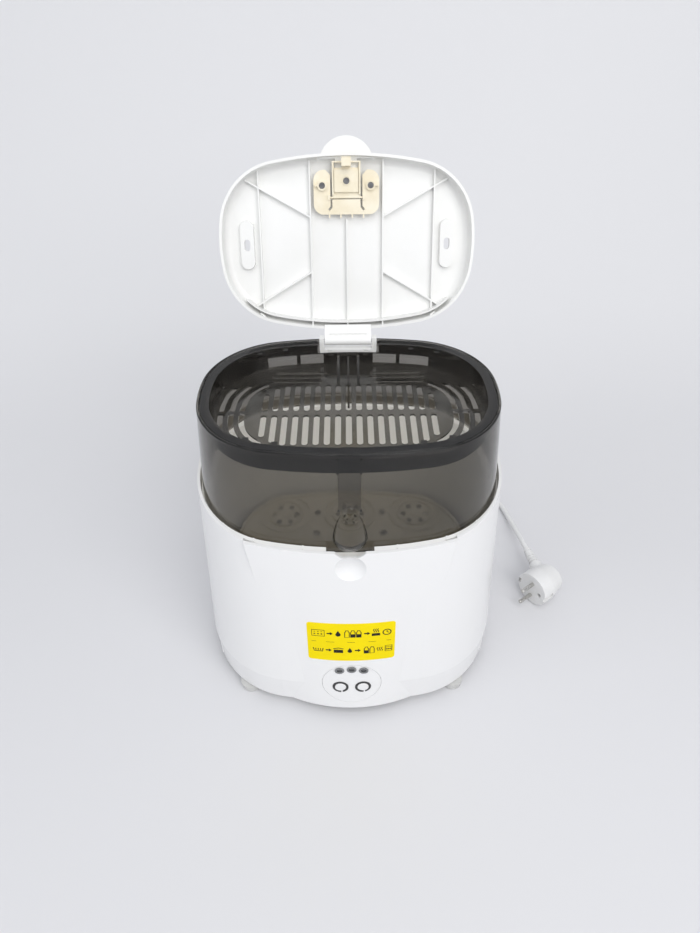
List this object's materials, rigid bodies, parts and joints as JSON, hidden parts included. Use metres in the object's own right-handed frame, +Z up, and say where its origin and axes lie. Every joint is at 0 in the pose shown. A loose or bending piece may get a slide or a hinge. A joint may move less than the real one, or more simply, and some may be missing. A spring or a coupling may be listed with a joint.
{
  "type": "electric_bottle_sterilizer",
  "caption": "Electric steam sterilizer for feeding bottles: white base with heater and buttons, smoke-grey chamber, slotted tray, bottle rack, hinged white lid, cord and plug.",
  "frame": {"origin": "middle of the bottom of the object's box without the loose mains cord, on the floor under the feet", "axes": "+Z up, +X to the viewer's right when facing the control panel, the control panel faces -Y"},
  "size_m": [0.4074, 0.3423, 0.4967],
  "materials": {
    "white_gloss": "glossy injection-moulded ABS",
    "white_satin": "satin moulded polypropylene",
    "cream_plastic": "satin moulded polypropylene, slightly warm",
    "aged_cream": "yellowed moulded plastic",
    "smoke_plastic": "see-through smoke-grey polycarbonate",
    "smoke_plastic_deep": "see-through smoke-grey polycarbonate, deeper tint",
    "clear_plastic": "clear moulded plastic",
    "label_yellow": "printed vinyl film",
    "black_plastic": "fine-grained black plastic",
    "grey_plastic": "satin grey plastic",
    "lamp_dark": "unlit tinted lens",
    "board_green": "solder-masked laminate",
    "silicone": "moulded silicone",
    "foot_rubber": "soft light grey rubber",
    "cord_white": "white flexible PVC",
    "cable_black": "black flexible PVC",
    "plate_steel": "stainless plate with a satin grain",
    "element_steel": "dull sheathed element",
    "zinc_steel": "zinc-plated steel",
    "pin_nickel": "nickel-plated brass"
  },
  "bodies": {
    "base": {"base_housing": "white_gloss", "control_panel": "white_gloss", "info_label": "label_yellow", "button_rings": "black_plastic", "lamp_bezels": "grey_plastic", "lamp_lenses": "lamp_dark", "light_guides": "clear_plastic", "button_springs": "silicone", "control_board": "board_green", "tact_switches": "black_plastic", "indicator_leds": "clear_plastic", "relay": "black_plastic", "board_posts": "white_satin", "board_screws": "zinc_steel", "bottom_pan": "white_satin", "feet": "foot_rubber", "case_screws": "zinc_steel", "guide_ring": "white_satin", "water_basin": "white_satin", "plate_gasket": "silicone", "heating_plate": "plate_steel", "plate_clamp_ring": "zinc_steel", "clamp_screws": "zinc_steel", "heating_element": "element_steel", "thermostat": "black_plastic", "thermal_fuse": "zinc_steel", "cord_gland": "cord_white", "gland_clip": "zinc_steel", "cord_tail": "cord_white", "cord_clamp": "white_satin", "clamp_bolts": "zinc_steel", "terminal_block": "cream_plastic", "earth_stud": "zinc_steel", "heater_cable": "cable_black", "board_cable": "cable_black", "cord_lead": "cord_white", "cord_coil": "cord_white", "cord_run": "cord_white", "plug_body": "cord_white", "plug_pins": "pin_nickel", "plug_earth_clip": "pin_nickel", "plug_strain_relief": "cord_white"},
    "button_left_body": {"button_left": "white_gloss"},
    "button_right_body": {"button_right": "white_gloss"},
    "chamber_body": {"chamber": "smoke_plastic", "hinge_bracket": "white_satin", "hinge_pin": "zinc_steel"},
    "rack_body": {"bottle_rack": "cream_plastic"},
    "tray_body": {"tray": "smoke_plastic_deep"},
    "lid_body": {"lid_shell": "white_satin", "hinge_arm": "white_satin", "latch_plate": "aged_cream", "latch_screws": "zinc_steel"},
    "latch_body": {"latch_tongue": "aged_cream", "release_tab": "white_satin", "tab_screw": "zinc_steel"}
  },
  "joints": [
    {"name": "chamber_lift", "type": "slide", "parent": "base", "child": "chamber_body", "axis": [0, 0, -1], "range_m": [-0.12, 0]},
    {"name": "rack_lift", "type": "slide", "parent": "base", "child": "rack_body", "axis": [0, 0, -1], "range_m": [-0.14, 0]},
    {"name": "tray_lift", "type": "slide", "parent": "chamber_body", "child": "tray_body", "axis": [0, 0, -1], "range_m": [-0.1, 0]},
    {"name": "lid_hinge", "type": "hinge", "parent": "chamber_body", "child": "lid_body", "pos_m": [0, 0.06703, 0.32788], "axis": [1, 0, 0], "range_deg": [0, 109.8]},
    {"name": "latch_flex", "type": "hinge", "parent": "lid_body", "child": "latch_body", "pos_m": [0, 0.11927, 0.44798], "axis": [1, 0, 0], "range_deg": [0, 3.5], "stiffness_Nm_per_rad": 0.6, "springref_deg": -1.72},
    {"name": "button_left_press", "type": "slide", "parent": "base", "child": "button_left_body", "axis": [0, 1, 0], "range_m": [0, 0.0016], "stiffness_N_per_m": 600, "springref_m": -0.0012},
    {"name": "button_right_press", "type": "slide", "parent": "base", "child": "button_right_body", "axis": [0, 1, 0], "range_m": [0, 0.0016], "stiffness_N_per_m": 600, "springref_m": -0.0012}
  ]
}
